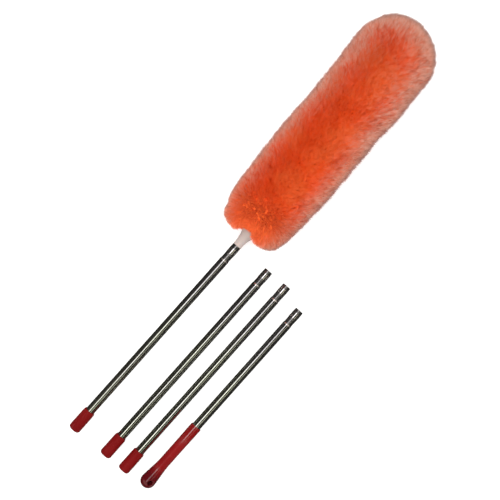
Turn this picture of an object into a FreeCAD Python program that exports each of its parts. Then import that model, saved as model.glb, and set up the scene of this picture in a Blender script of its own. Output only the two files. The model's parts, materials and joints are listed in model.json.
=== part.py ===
import FreeCAD, Part
import math
import os

import Sketcher

# Feather duster with a sectional pole, laid out taken apart on a level surface.
#
# Each pole section is drawn along its own X axis, from the mouth of its lower end to the tip of its tube, and
# is then laid on the surface, z = 0. The duster lies on the rim of its socket and on its pile, and each loose
# section lies on its lower end and on the bead of its tube. All lengths are in millimetres.

os.makedirs("parts", exist_ok=True)

DIMENSIONS = (
    # pole sections
    ("section_length", 500, "mouth of the socket to the tip of the tube"),
    ("tube_radius", 9.5, "outside of the tube"),
    ("tube_bore", 8.7, "inside of the tube"),
    ("spigot_length", 38, "swaged top end that goes into the next socket"),
    ("tip_radius", 9.3, "outside of the swaged tip"),
    ("tip_bore", 8.5, "inside of the swaged tip"),
    ("tip_length", 22.5, "tip, from the waist to the end"),
    ("waist_radius", 8.9, "outside of the rolled crimp below the tip"),
    ("waist_bore", 8.1, "inside of the rolled crimp"),
    ("crimp_slope", 2, "length of each slope of the crimp"),
    ("lead_length", 8, "taper at the end of the tip"),
    ("lead_drop", 0.45, "how much the taper takes off the radius"),
    ("bead_radius", 9.65, "stop bead at the foot of the spigot"),
    ("bead_length", 1.6, "stop bead along the tube"),
    ("seat_gap", 0.05, "gap between pieces that are pressed or glued together"),
    ("insert_length", 42, "threaded insert in the tip"),
    ("stud_radius", 5, "outside of the stud's thread"),
    ("stud_clearance", 0.05, "running clearance round the stud"),
    ("stud_length", 40, "stud, end to end"),
    ("stud_point", 1, "taper at each end of the stud"),
    ("stud_reach", 17.5, "part of the stud that screws into an insert"),
    ("stud_shank_radius", 6, "plain part of a socket's stud, held in the socket and the plug"),
    # red socket on the lower end of a section
    ("socket_length", 51, "whole socket"),
    ("socket_radius", 12.5, "outside at the mouth"),
    ("socket_top_radius", 12.2, "outside near the top"),
    ("socket_rim", 9.8, "flat rim of the mouth, inside the rounding"),
    ("socket_round", 4.5, "length of the rounding at the mouth"),
    ("socket_shoulder", 1.3, "how much the top taper takes off the radius"),
    ("socket_taper", 3, "length of the taper at the top"),
    ("cavity_radius", 9.55, "mouth end of the cavity"),
    ("cavity_length", 20, "mouth end of the cavity"),
    ("deep_radius", 9.38, "deep end of the cavity"),
    ("cavity_depth", 38, "whole cavity"),
    ("web_thickness", 3, "floor between the cavity and the tube"),
    ("plug_length", 25, "plug inside the lower end of the tube"),
    # handle section
    ("handle_length", 476, "end of the ball to the tip of the tube"),
    ("ball_radius", 15.75, "ball at the end of the grip"),
    ("neck_place", 45, "foot of the ball's cone"),
    ("neck_radius", 12.6, "grip at the foot of the cone"),
    ("palm_place", 105, "end of the slim palm"),
    ("palm_radius", 11.35, "grip at its slimmest"),
    ("grip_length", 162, "whole grip"),
    ("grip_top_radius", 11.8, "grip at its top end"),
    ("grip_edge", 1.6, "rounding of the grip's top edge"),
    ("grip_seat", 30, "foot of the tube inside the grip"),
    ("hang_radius", 5, "hang hole through the ball"),
    ("hang_neck", 11.2, "half the straight stretch of the hang hole"),
    ("hang_round", 3.5, "rounding of the hang hole's mouths"),
    ("hang_turn", 28, "how far the hole is turned from upright, degrees"),
    # ferrule and core of the head, from the tip of the tube
    ("ferrule_gap", 0.2, "gap over the tip of the tube"),
    ("ferrule_foot_radius", 9.25, "ferrule on the tube"),
    ("ferrule_straight", 3, "straight foot of the ferrule"),
    ("ferrule_flare_end", 37, "end of the flare"),
    ("ferrule_lip_radius", 17, "widest part of the ferrule"),
    ("ferrule_lip", 3, "lip above the flare"),
    ("ferrule_shank", 36, "part inside the core tube"),
    ("ferrule_socket", 22.7, "depth of the stud's hole in the ferrule"),
    ("core_radius", 13, "outside of the core tube"),
    ("core_bore", 11, "inside of the core tube"),
    ("core_end", 500, "end of the core tube"),
    ("cap_skirt", 15, "part of the tip cap inside the core tube"),
    ("pin_radius", 1.5, "cross pin through the core tube and the ferrule"),
    ("pin_place", 60, "cross pin from the tip of the tube"),
    ("pin_length", 25.6, "cross pin, end to end"),
    ("backing_radius", 15, "outside of the knitted backing"),
    ("tie_place", 45, "start of the neck tie"),
    ("tie_width", 6, "neck tie along the core"),
    ("tie_thickness", 2, "neck tie over the backing"),
    # pile
    ("pile_start", 29, "lowest curls, from the tip of the tube"),
    ("pile_round", 25, "rounding of the lower end"),
    ("pile_foot_radius", 71, "pile at its lower end"),
    ("pile_swell", 142, "where the pile is nearly full"),
    ("pile_swell_radius", 82.5, "pile there"),
    ("pile_full", 190, "where the pile is full"),
    ("pile_radius", 84.5, "pile at its fullest"),
    ("pile_end", 563.5, "end of the pile"),
    ("pile_hollow_radius", 18.5, "space round the ferrule and the tie"),
    ("pile_hollow_end", 54, "end of that space"),
    ("pile_shift", 4, "how far the pile hangs to the +Y side at its foot"),
    ("pile_lean", 1.85, "lean of the pile to the +Y side, degrees"),
    # where things lie
    ("duster_tilt", 4.8, "rise of the duster's pole, degrees"),
    ("duster_x", -529.53, "mouth of the duster's socket"),
    ("duster_y", 46.7, "mouth of the duster's socket"),
    ("section_2_x", -526.8, "mouth of section 2"),
    ("section_2_y", -34.8, "axis of section 2"),
    ("section_3_x", -525.2, "mouth of section 3"),
    ("section_3_y", -82.8, "axis of section 3"),
    ("handle_x", -521.23, "end of the handle's ball"),
    ("handle_y", -134.8, "axis of the handle section"),
)

doc = FreeCAD.newDocument("FeatherDuster")
sheet = doc.addObject("Spreadsheet::Sheet", "Dimensions")
for row, (alias, number, meaning) in enumerate(DIMENSIONS, start=1):
    sheet.set(f"A{row}", alias)
    sheet.set(f"B{row}", str(number))
    sheet.set(f"C{row}", meaning)
    sheet.setAlias(f"B{row}", alias)
doc.recompute()


class Size:
    """A number together with the sheet formula that it comes from."""

    def __init__(self, value, formula):
        self.value = float(value)
        self.formula = formula

    def joined(self, other, sign, value):
        return Size(value, f"({self.formula} {sign} {other.formula})")

    def __add__(self, other):
        other = as_size(other)
        return self.joined(other, "+", self.value + other.value)

    def __sub__(self, other):
        other = as_size(other)
        return self.joined(other, "-", self.value - other.value)

    def __mul__(self, other):
        other = as_size(other)
        return self.joined(other, "*", self.value * other.value)

    def __truediv__(self, other):
        other = as_size(other)
        return self.joined(other, "/", self.value / other.value)

    def root(self):
        return Size(math.sqrt(self.value), f"sqrt({self.formula})")


def as_size(number):
    return number if isinstance(number, Size) else Size(number, repr(float(number)))


def size(alias):
    """The sheet's cell with this alias."""
    return Size(sheet.get(alias), f"Dimensions.{alias}")


ZERO = as_size(0)


# ---------------------------------------------------------------- sketches and bodies

def new_body(label):
    body = doc.addObject("PartDesign::Body", label)
    body.Label = label
    return body


def new_sketch(body, name, role):
    """A sketch on one of the body's own origin planes."""
    plane = next(f for f in body.Origin.OriginFeatures if f.Role == role)
    sketch = body.newObject("Sketcher::SketchObject", f"{body.Name}_{name}")
    sketch.AttachmentSupport = [(plane, "")]
    sketch.MapMode = "FlatFace"
    return sketch


def bind(sketch, kind, *places, length):
    """A dimension of the sketch that follows its sheet formula."""
    index = sketch.addConstraint(Sketcher.Constraint(kind, *places, length.value))
    sketch.setExpression(f"Constraints[{index}]", length.formula)


def arc_between(start, end, radius):
    """The shorter arc from start to end: counter-clockwise for a radius over 0, clockwise under 0.

    Returns it with the numbers of its start and end points as the sketch knows them.
    """
    chord = end - start
    rise = math.sqrt(radius * radius - chord.Length ** 2 / 4)
    across = FreeCAD.Vector(-chord.y, chord.x, 0).normalize()
    centre = (start + end) * 0.5 + across * math.copysign(rise, radius)
    first, last = (start, end) if radius > 0 else (end, start)
    angles = [math.atan2(p.y - centre.y, p.x - centre.x) for p in (first, last)]
    if angles[1] < angles[0]:
        angles[1] += 2 * math.pi
    circle = Part.Circle(centre, FreeCAD.Vector(0, 0, 1), abs(radius))
    points = (1, 2) if radius > 0 else (2, 1)
    return Part.ArcOfCircle(circle, *angles), points


def draw_outline(sketch, outline):
    """A closed outline of corners (x, y), or (x, y, radius, way) where an arc leads up to the corner."""
    corners = [FreeCAD.Vector(item[0].value, item[1].value, 0) for item in outline]
    edges = []
    for i, item in enumerate(outline):
        start, end = corners[i - 1], corners[i]
        if len(item) == 4:
            geometry, points = arc_between(start, end, item[2].value * item[3])
        else:
            geometry, points = Part.LineSegment(start, end), (1, 2)
        edges.append((sketch.addGeometry(geometry, False), *points))
    for i, (edge, _, end_point) in enumerate(edges):
        following, start_point, _ = edges[(i + 1) % len(edges)]
        sketch.addConstraint(Sketcher.Constraint("Coincident", edge, end_point, following, start_point))
    for item, (edge, _, end_point) in zip(outline, edges):
        for kind, length, axis in (("DistanceX", item[0], -2), ("DistanceY", item[1], -1)):
            if length.value == 0:
                sketch.addConstraint(Sketcher.Constraint("PointOnObject", edge, end_point, axis))
            else:
                bind(sketch, kind, -1, 1, edge, end_point, length=length)
        if len(item) == 4:
            bind(sketch, "Radius", edge, length=item[2])


def revolved(label, outline):
    """A body turned about its X axis from a closed outline of (x, radius) corners."""
    body = new_body(label)
    sketch = new_sketch(body, "outline", "XY_Plane")
    draw_outline(sketch, outline)
    turned = body.newObject("PartDesign::Revolution", f"{label}_turned")
    turned.Profile = sketch
    turned.ReferenceAxis = (sketch, ["H_Axis"])
    turned.Angle = 360
    body.Tip = turned
    doc.recompute()
    return body


def cross_hole(body, name, role, place, radius):
    """A round hole straight through the body, across its X axis and square to the named plane."""
    before = body.Shape.Volume
    sketch = new_sketch(body, name, role)
    centre = FreeCAD.Vector(place.value, 0, 0)
    circle = sketch.addGeometry(Part.Circle(centre, FreeCAD.Vector(0, 0, 1), radius.value), False)
    sketch.addConstraint(Sketcher.Constraint("PointOnObject", circle, 3, -1))
    bind(sketch, "DistanceX", -1, 1, circle, 3, length=place)
    bind(sketch, "Radius", circle, length=radius)
    hole = body.newObject("PartDesign::Pocket", f"{body.Name}_{name}_cut")
    hole.Profile = sketch
    hole.Type = "ThroughAll"
    hole.SideType = "Symmetric"
    body.Tip = hole
    doc.recompute()
    if body.Shape.Volume >= before:
        raise RuntimeError(f"{body.Label}: {name} cut nothing")


# ---------------------------------------------------------------- pole sections

def make_tube(label, foot, tip):
    """A tube from foot to tip, with its top end swaged, crimped and tapered."""
    stop = tip - size("spigot_length")
    bead_foot = stop - size("bead_length")
    waist_foot = stop + size("crimp_slope")
    waist_head = tip - size("tip_length") - size("crimp_slope")
    tip_foot = tip - size("tip_length")
    lead = tip - size("lead_length")
    bead_middle = stop - size("bead_length") / 2
    return revolved(label, [
        (foot, size("tube_bore")),
        (foot, size("tube_radius")),
        (bead_foot, size("tube_radius")),
        (bead_middle, size("bead_radius")),
        (stop, size("tube_radius")),
        (waist_foot, size("waist_radius")),
        (waist_head, size("waist_radius")),
        (tip_foot, size("tip_radius")),
        (lead, size("tip_radius")),
        (tip, size("tip_radius") - size("lead_drop")),
        (tip, size("tip_bore") - size("lead_drop")),
        (lead, size("tip_bore")),
        (tip_foot, size("tip_bore")),
        (waist_head, size("waist_bore")),
        (waist_foot, size("waist_bore")),
        (stop, size("tube_bore")),
    ])


def make_insert(label, tip):
    """A nylon insert that fills the swaged end of the tube and is gripped by the crimp."""
    gap = size("seat_gap")
    foot = tip - size("insert_length")
    stop = tip - size("spigot_length")
    waist_foot = stop + size("crimp_slope")
    waist_head = tip - size("tip_length") - size("crimp_slope")
    tip_foot = tip - size("tip_length")
    lead = tip - size("lead_length")
    bore = size("stud_radius") + size("stud_clearance")
    return revolved(label, [
        (foot, bore),
        (foot, size("tube_bore") - gap),
        (stop, size("tube_bore") - gap),
        (waist_foot, size("waist_bore") - gap),
        (waist_head, size("waist_bore") - gap),
        (tip_foot, size("tip_bore") - gap),
        (lead, size("tip_bore") - gap),
        (tip, size("tip_bore") - size("lead_drop") - gap),
        (tip, bore),
    ])


def rim_radius():
    """Radius of the mouth's rounding, which runs out level with the socket's side."""
    depth = size("socket_radius") - size("socket_rim")
    reach = size("socket_round")
    return (reach * reach + depth * depth) / (depth * 2)


def make_socket(label):
    """A moulded socket: a stepped cavity for the next section's spigot and a seat for the tube."""
    web_end = size("cavity_depth") + size("web_thickness")
    tube_seat = size("tube_radius") + size("seat_gap")
    stud_seat = size("stud_shank_radius") + size("seat_gap")
    return revolved(label, [
        (ZERO, size("cavity_radius")),
        (ZERO, size("socket_rim")),
        (size("socket_round"), size("socket_radius"), rim_radius(), -1),
        (size("socket_length") - size("socket_taper"), size("socket_top_radius")),
        (size("socket_length"), size("socket_top_radius") - size("socket_shoulder")),
        (size("socket_length"), tube_seat),
        (web_end, tube_seat),
        (web_end, stud_seat),
        (size("cavity_depth"), stud_seat),
        (size("cavity_depth"), size("deep_radius")),
        (size("cavity_length"), size("deep_radius")),
        (size("cavity_length"), size("cavity_radius")),
    ])


def make_plug(label):
    """A plug inside the lower end of the tube, which carries the stud."""
    foot = size("cavity_depth") + size("web_thickness") + size("seat_gap")
    head = foot + size("plug_length")
    outside = size("tube_bore") - size("seat_gap")
    bore = size("stud_shank_radius") + size("seat_gap")
    return revolved(label, [(foot, bore), (foot, outside), (head, outside), (head, bore)])


def make_socket_stud(label):
    """The stud in a socket: a thread in the cavity and a thicker plain shank in the web and the plug."""
    foot = size("cavity_depth") - size("stud_reach")
    head = foot + size("stud_length")
    return revolved(label, [
        (foot, ZERO),
        (foot, size("stud_radius") - size("stud_point")),
        (foot + size("stud_point"), size("stud_radius")),
        (size("cavity_depth"), size("stud_radius")),
        (size("cavity_depth"), size("stud_shank_radius")),
        (head - size("stud_point"), size("stud_shank_radius")),
        (head, size("stud_shank_radius") - size("stud_point")),
        (head, ZERO),
    ])


def make_section(name):
    """One pole section: tube, threaded insert, socket, plug and the socket's stud."""
    tip = size("section_length")
    foot = size("cavity_depth") + size("web_thickness") + size("seat_gap")
    return [
        make_tube(f"{name}_tube", foot, tip),
        make_insert(f"{name}_insert", tip),
        make_socket(f"{name}_socket"),
        make_plug(f"{name}_plug"),
        make_socket_stud(f"{name}_stud"),
    ]


def cone_on_ball():
    """The point where a cone from the grip's neck touches the ball."""
    ball = size("ball_radius")
    reach = size("neck_place") - ball
    neck = size("neck_radius")
    square = reach * reach + neck * neck
    along_line = ball * ball / square
    across_line = ball * (square - ball * ball).root() / square
    return ball + reach * along_line - neck * across_line, neck * along_line + reach * across_line


def neck_blend(touch):
    """Length and radius of the arc that runs the cone out level with the palm of the grip."""
    slope = (touch[1] - size("neck_radius")) / (size("neck_place") - touch[0])
    cosine = as_size(1) / (as_size(1) + slope * slope).root()
    radius = (size("neck_radius") - size("palm_radius")) / (as_size(1) - cosine)
    return radius * slope * cosine, radius


def make_hang_hole():
    """The hang hole as a solid: a straight neck that rounds out at both mouths of the hole."""
    middle = size("ball_radius") * 2
    narrow = size("hang_radius")
    curve = size("hang_round")
    neck_foot = middle - size("hang_neck")
    neck_head = middle + size("hang_neck")
    hole = revolved("hang_hole", [
        (ZERO, ZERO),
        (ZERO, narrow + curve),
        (neck_foot - curve, narrow + curve),
        (neck_foot, narrow, curve, 1),
        (neck_head, narrow),
        (neck_head + curve, narrow + curve, curve, 1),
        (middle * 2, narrow + curve),
        (middle * 2, ZERO),
    ])
    start = FreeCAD.Vector(sheet.get("ball_radius"), 0, -middle.value)
    hole.Placement = FreeCAD.Placement(start, FreeCAD.Rotation(FreeCAD.Vector(0, 1, 0), -90))
    return hole


def make_grip():
    """The red grip: ball, cone, slim palm and a blind seat for the tube, with the hang hole."""
    seat = size("tube_radius") + size("seat_gap")
    shoulder = size("grip_length") - size("grip_edge")
    touch = cone_on_ball()
    blend_length, blend_radius = neck_blend(touch)
    blank = revolved("grip_blank", [
        (ZERO, ZERO),
        (size("ball_radius"), size("ball_radius"), size("ball_radius"), -1),
        (*touch, size("ball_radius"), -1),
        (size("neck_place"), size("neck_radius")),
        (size("neck_place") + blend_length, size("palm_radius"), blend_radius, 1),
        (size("palm_place"), size("palm_radius")),
        (shoulder, size("grip_top_radius")),
        (size("grip_length"), size("grip_top_radius") - size("grip_edge"), size("grip_edge"), -1),
        (size("grip_length"), seat),
        (size("grip_seat"), seat),
        (size("grip_seat"), ZERO),
    ])
    grip = doc.addObject("Part::Cut", "handle_grip")
    grip.Label = "handle_grip"
    grip.Base = blank
    grip.Tool = make_hang_hole()
    return grip


def make_handle():
    """The handle section: tube, threaded insert and grip."""
    tip = size("handle_length")
    foot = size("grip_seat") + size("seat_gap")
    return [make_tube("handle_tube", foot, tip), make_insert("handle_insert", tip), make_grip()]


# ---------------------------------------------------------------- the duster's head

def make_ferrule():
    """A trumpet-shaped ferrule with a blind hole for the stud and a shank for the core tube."""
    gap = size("seat_gap")
    flare = size("ferrule_flare_end") - size("ferrule_straight")
    rise = size("ferrule_lip_radius") - size("ferrule_foot_radius")
    flare_radius = (flare * flare + rise * rise) / (rise * 2)
    shoulder = size("ferrule_flare_end") + size("ferrule_lip")
    shank_end = shoulder + size("ferrule_shank")
    bore = size("stud_radius") + size("stud_clearance")
    body = revolved("ferrule", [
        (size("ferrule_gap"), bore),
        (size("ferrule_gap"), size("ferrule_foot_radius")),
        (size("ferrule_straight"), size("ferrule_foot_radius")),
        (size("ferrule_flare_end"), size("ferrule_lip_radius"), flare_radius, 1),
        (shoulder, size("ferrule_lip_radius")),
        (shoulder, size("core_bore") - gap),
        (shank_end, size("core_bore") - gap),
        (shank_end, ZERO),
        (size("ferrule_socket"), ZERO),
        (size("ferrule_socket"), bore),
    ])
    cross_hole(body, "pin_hole", "XZ_Plane", size("pin_place"), size("pin_radius") + gap)
    return body


def make_core_tube():
    """The stiff tube inside the head."""
    gap = size("seat_gap")
    foot = size("ferrule_flare_end") + size("ferrule_lip") + gap
    end = size("core_end")
    bore = size("core_bore")
    outside = size("core_radius")
    body = revolved("core_tube", [(foot, bore), (foot, outside), (end, outside), (end, bore)])
    cross_hole(body, "pin_hole", "XZ_Plane", size("pin_place"), size("pin_radius") + gap)
    return body


def make_tip_cap():
    """A domed cap that closes the far end of the core tube."""
    gap = size("seat_gap")
    end = size("core_end") + gap
    skirt = size("core_bore") - gap
    dome = size("core_radius")
    return revolved("core_tip_cap", [
        (end - size("cap_skirt"), ZERO),
        (end - size("cap_skirt"), skirt),
        (end, skirt),
        (end, dome),
        (end + dome, ZERO, dome, -1),
    ])


def make_backing():
    """The knitted backing, a sleeve over the core tube and its cap."""
    gap = size("seat_gap")
    foot = size("ferrule_flare_end") + size("ferrule_lip") + gap
    end = size("core_end")
    inside = size("core_radius") + gap
    outside = size("backing_radius")
    return revolved("backing_sleeve", [
        (foot, inside),
        (foot, outside),
        (end, outside),
        (end + outside, ZERO, outside, -1),
        (end + inside + gap, ZERO),
        (end + gap, inside, inside, 1),
    ])


def make_tie():
    """The cord wound round the backing where it meets the ferrule."""
    inside = size("backing_radius") + size("seat_gap")
    outside = inside + size("tie_thickness")
    foot = size("tie_place")
    head = foot + size("tie_width")
    bulge = size("tie_thickness") / 2
    return revolved("neck_tie", [
        (foot, inside),
        (foot, outside - bulge),
        (foot + bulge, outside, bulge, -1),
        (head - bulge, outside),
        (head, outside - bulge, bulge, -1),
        (head, inside),
    ])


def make_ferrule_stud():
    """The stud that joins the ferrule to the insert of a pole section, threaded at both ends."""
    point = size("stud_radius") - size("stud_point")
    end = size("stud_length")
    stud = revolved("ferrule_stud", [
        (ZERO, ZERO),
        (ZERO, point),
        (size("stud_point"), size("stud_radius")),
        (end - size("stud_point"), size("stud_radius")),
        (end, point),
        (end, ZERO),
    ])
    stud.Placement = along(-sheet.get("stud_reach"))
    return stud


def make_pin():
    """The cross pin that holds the ferrule's shank in the core tube."""
    pin = doc.addObject("Part::Cylinder", "ferrule_pin")
    pin.Label = "ferrule_pin"
    pin.setExpression("Radius", "Dimensions.pin_radius")
    pin.setExpression("Height", "Dimensions.pin_length")
    return pin


def make_pile_blank():
    """The whole outline of the pile, before the floor and the core are taken out of it."""
    foot = size("pile_start")
    shoulder = size("pile_full")
    return revolved("pile_blank", [
        (foot, ZERO),
        (foot, size("pile_foot_radius") - size("pile_round")),
        (foot + size("pile_round"), size("pile_foot_radius"), size("pile_round"), -1),
        (size("pile_swell"), size("pile_swell_radius")),
        (shoulder, size("pile_radius")),
        (size("pile_end") - size("pile_radius"), size("pile_radius")),
        (size("pile_end"), ZERO, size("pile_radius"), -1),
    ])


def make_pile_hollow():
    """The room that the ferrule, the tie and the backing take inside the pile."""
    gap = size("seat_gap")
    end = size("core_end")
    inside = size("backing_radius") + gap
    return revolved("pile_hollow", [
        (ZERO, ZERO),
        (ZERO, size("pile_hollow_radius")),
        (size("pile_hollow_end"), size("pile_hollow_radius")),
        (size("pile_hollow_end"), inside),
        (end, inside),
        (end + inside, ZERO, inside, -1),
    ])


# ---------------------------------------------------------------- where things lie

def along(distance):
    return FreeCAD.Placement(FreeCAD.Vector(distance, 0, 0), FreeCAD.Rotation())


def laid(mouth, rise, roll=0.0):
    """The place of a pole whose axis starts at mouth and rises by an angle."""
    return FreeCAD.Placement(FreeCAD.Vector(*mouth), FreeCAD.Rotation(0, -rise, roll))


def duster_place():
    """The duster leans up from the rim of its socket to its pile."""
    tilt = math.radians(sheet.get("duster_tilt"))
    rim = rim_radius().value
    hub = sheet.get("socket_radius") - rim
    mouth_height = hub * math.cos(tilt) + rim - sheet.get("socket_round") * math.sin(tilt)
    mouth = (sheet.get("duster_x"), sheet.get("duster_y"), mouth_height)
    return laid(mouth, sheet.get("duster_tilt"))


def lying(mouth_x, mouth_y, tip, foot, foot_radius, roll=0.0):
    """A loose pole that lies on its thick lower end and on whichever of its bead and its tip is met first.

    foot is the place along the axis where the lower end, of foot_radius, touches the floor.
    """
    bead = tip - sheet.get("spigot_length") - sheet.get("bead_length") / 2
    falls = [
        math.atan2(foot_radius - radius, place - foot)
        for place, radius in (
            (bead, sheet.get("bead_radius")),
            (tip - sheet.get("lead_length"), sheet.get("tip_radius")),
        )
    ]
    fall = min(falls)
    mouth_height = foot * math.sin(fall) + foot_radius * math.cos(fall)
    return laid((mouth_x, mouth_y, mouth_height), -math.degrees(fall), roll)


def section_place(name):
    """A loose section lies on the edge of its socket's rounding and on its tube."""
    return lying(
        sheet.get(f"{name}_x"),
        sheet.get(f"{name}_y"),
        sheet.get("section_length"),
        sheet.get("socket_round"),
        sheet.get("socket_radius"),
    )


def handle_place():
    """The handle section lies on its ball and on its tube, with the hang hole turned aside."""
    return lying(
        sheet.get("handle_x"),
        sheet.get("handle_y"),
        sheet.get("handle_length"),
        sheet.get("ball_radius"),
        sheet.get("ball_radius"),
        roll=sheet.get("hang_turn"),
    )


def place_all(parts, place):
    for part in parts:
        part.Placement = place.multiply(part.Placement)


def make_pile(head_place):
    """The pile: its blank, leaned and shifted aside, less the core's room and what the floor takes."""
    blank = make_pile_blank()
    aside = FreeCAD.Vector(0, sheet.get("pile_shift"), 0)
    lean = FreeCAD.Placement(aside, FreeCAD.Rotation(sheet.get("pile_lean"), 0, 0))
    blank.Placement = head_place.multiply(lean)
    hollow = make_pile_hollow()
    hollow.Placement = head_place
    floor = doc.addObject("Part::Box", "floor_block")
    floor.Length = 2 * sheet.get("section_length")
    floor.Width = sheet.get("section_length")
    floor.Height = sheet.get("pile_radius")
    floor.Placement.Base = FreeCAD.Vector(-100, -floor.Width.Value / 2, -floor.Height.Value)
    taken = doc.addObject("Part::MultiFuse", "pile_taken")
    taken.Shapes = [hollow, floor]
    pile = doc.addObject("Part::Cut", "pile_cover")
    pile.Label = "pile_cover"
    pile.Base = blank
    pile.Tool = taken
    return pile


def make_head():
    """Ferrule, core, backing and pile, on the tip of the duster's own pole section."""
    head_place = duster_place().multiply(along(sheet.get("section_length")))
    pin = make_pin()
    upright = FreeCAD.Rotation(FreeCAD.Vector(1, 0, 0), -90)
    pin.Placement = FreeCAD.Placement(
        FreeCAD.Vector(sheet.get("pin_place"), -sheet.get("pin_length") / 2, 0), upright)
    pieces = [make_ferrule(), make_ferrule_stud(), make_core_tube(), make_tip_cap(), make_backing(),
              make_tie(), pin]
    place_all(pieces, head_place)
    return pieces + [make_pile(head_place)]


# ---------------------------------------------------------------- checks and files

def write(nodes):
    """Checks the document and each node, then writes one STEP file per node."""
    doc.recompute()
    for item in doc.Objects:
        if "Invalid" in item.State or "Error" in item.State:
            raise RuntimeError(f"{item.Label}: {item.State}")
    whole = FreeCAD.BoundBox()
    for node in nodes:
        shape = node.Shape
        if shape.isNull() or not shape.isValid() or not shape.Solids:
            raise RuntimeError(f"{node.Label} is not a valid solid")
        whole.add(shape.optimalBoundingBox(True, False))
        print(f"{node.Label}: {len(shape.Solids)} solid, {shape.Volume:.0f} mm3")
    print(f"{len(nodes)} nodes in {whole}")
    for node in nodes:
        node.Shape.exportStep(f"parts/{node.Label}.step")


section_1 = make_section("section_1")
place_all(section_1, duster_place())
section_2 = make_section("section_2")
place_all(section_2, section_place("section_2"))
section_3 = make_section("section_3")
place_all(section_3, section_place("section_3"))
handle = make_handle()
place_all(handle, handle_place())
write(section_1 + section_2 + section_3 + handle + make_head())
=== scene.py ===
import json
import math
import random

import bmesh
import bpy
import numpy as np
from mathutils import Matrix, Vector, noise

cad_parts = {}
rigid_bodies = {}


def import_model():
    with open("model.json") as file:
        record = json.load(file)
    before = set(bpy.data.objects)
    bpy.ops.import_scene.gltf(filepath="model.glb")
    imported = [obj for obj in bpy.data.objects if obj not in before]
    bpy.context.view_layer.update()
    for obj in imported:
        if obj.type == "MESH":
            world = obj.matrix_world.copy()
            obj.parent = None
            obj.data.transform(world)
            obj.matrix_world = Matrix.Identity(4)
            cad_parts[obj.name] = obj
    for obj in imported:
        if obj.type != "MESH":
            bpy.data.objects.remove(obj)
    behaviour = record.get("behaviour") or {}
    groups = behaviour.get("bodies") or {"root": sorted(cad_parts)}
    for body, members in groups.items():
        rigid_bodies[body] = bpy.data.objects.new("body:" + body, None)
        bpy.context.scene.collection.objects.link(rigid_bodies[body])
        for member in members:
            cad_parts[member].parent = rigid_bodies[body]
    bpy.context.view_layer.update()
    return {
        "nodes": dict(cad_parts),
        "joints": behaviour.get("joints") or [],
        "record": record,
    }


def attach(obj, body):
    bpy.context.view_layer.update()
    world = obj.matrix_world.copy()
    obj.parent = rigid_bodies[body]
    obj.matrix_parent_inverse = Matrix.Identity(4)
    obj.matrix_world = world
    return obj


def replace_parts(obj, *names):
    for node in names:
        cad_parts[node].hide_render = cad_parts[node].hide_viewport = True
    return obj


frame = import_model()
MM = 0.001

# ---------------------------------------------------------------- places, read from the frame

JOINTS = {joint["name"]: joint for joint in frame["joints"]}
MOUNTS = {mount["name"]: mount for mount in frame["record"]["mounts"]}


def pole_place(point, direction):
    """The place of a pole at a point of its axis: X runs up the pole, Y to the side and Z upwards."""
    forward = Vector(direction).normalized()
    side = Vector((0, 0, 1)).cross(forward).normalized()
    upward = forward.cross(side)
    turn = Matrix((forward, side, upward)).transposed().to_4x4()
    return Matrix.Translation(Vector(point)) @ turn


UNSCREW = JOINTS["head_unscrew_turn"]
HEAD_PLACE = pole_place(UNSCREW["pos_m"], UNSCREW["axis"])
POLE_PLACES = {"section_1": HEAD_PLACE}
for pole in ("section_2", "section_3", "handle"):
    thread = MOUNTS[f"{pole}_thread"]
    middle = Vector(thread["pos_m"])
    half = thread["dims"]["length_mm"] * MM / 2 * Vector(thread["axis"])
    POLE_PLACES[pole] = pole_place(middle + half, thread["axis"])

# ---------------------------------------------------------------- shader groups


def new_group(name, sockets):
    """A shader node group with its inputs and outputs, as (name, direction, socket type, value)."""
    group = bpy.data.node_groups.new(name, "ShaderNodeTree")
    for label, direction, kind, value in sockets:
        socket = group.interface.new_socket(label, in_out=direction, socket_type=f"NodeSocket{kind}")
        if value is not None:
            socket.default_value = value
    entry = group.nodes.new("NodeGroupInput")
    leave = group.nodes.new("NodeGroupOutput")
    return group, entry, leave


def add_noise(tree, vector, scale, detail=4.0, roughness=0.5):
    """A noise texture on some coordinates, and its value."""
    node = tree.nodes.new("ShaderNodeTexNoise")
    node.inputs["Scale"].default_value = scale
    node.inputs["Detail"].default_value = detail
    node.inputs["Roughness"].default_value = roughness
    if vector is not None:
        tree.links.new(vector, node.inputs["Vector"])
    return node.outputs["Fac"]


def add_mapping(tree, vector, scale=(1, 1, 1), location=(0, 0, 0), rotation=(0, 0, 0)):
    node = tree.nodes.new("ShaderNodeMapping")
    node.inputs["Scale"].default_value = scale
    node.inputs["Location"].default_value = location
    node.inputs["Rotation"].default_value = rotation
    tree.links.new(vector, node.inputs["Vector"])
    return node.outputs["Vector"]


def add_range(tree, value, low, high, to_low=0.0, to_high=1.0):
    """value moved from one range to another, smoothly and kept inside it."""
    node = tree.nodes.new("ShaderNodeMapRange")
    node.interpolation_type = "SMOOTHSTEP"
    node.inputs["From Min"].default_value = low
    node.inputs["From Max"].default_value = high
    node.inputs["To Min"].default_value = to_low
    node.inputs["To Max"].default_value = to_high
    tree.links.new(value, node.inputs["Value"])
    return node.outputs["Result"]


def add_math(tree, operation, first, second=0.0):
    """One sum of two sockets or numbers, or of one where the operation needs no more."""
    node = tree.nodes.new("ShaderNodeMath")
    node.operation = operation
    for socket, value in zip(node.inputs, (first, second)):
        if isinstance(value, (int, float)):
            socket.default_value = value
        else:
            tree.links.new(value, socket)
    return node.outputs["Value"]


def add_mix(tree, share, first, second):
    """A mix of two colours, each a socket or three numbers."""
    node = tree.nodes.new("ShaderNodeMix")
    node.data_type = "RGBA"
    factor, color_a, color_b = node.inputs[0], node.inputs[6], node.inputs[7]
    for socket, value in ((factor, share), (color_a, first), (color_b, second)):
        if isinstance(value, (int, float)):
            socket.default_value = value
        elif isinstance(value, tuple):
            socket.default_value = (*value, 1)
        else:
            tree.links.new(value, socket)
    return node.outputs[2]


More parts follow.
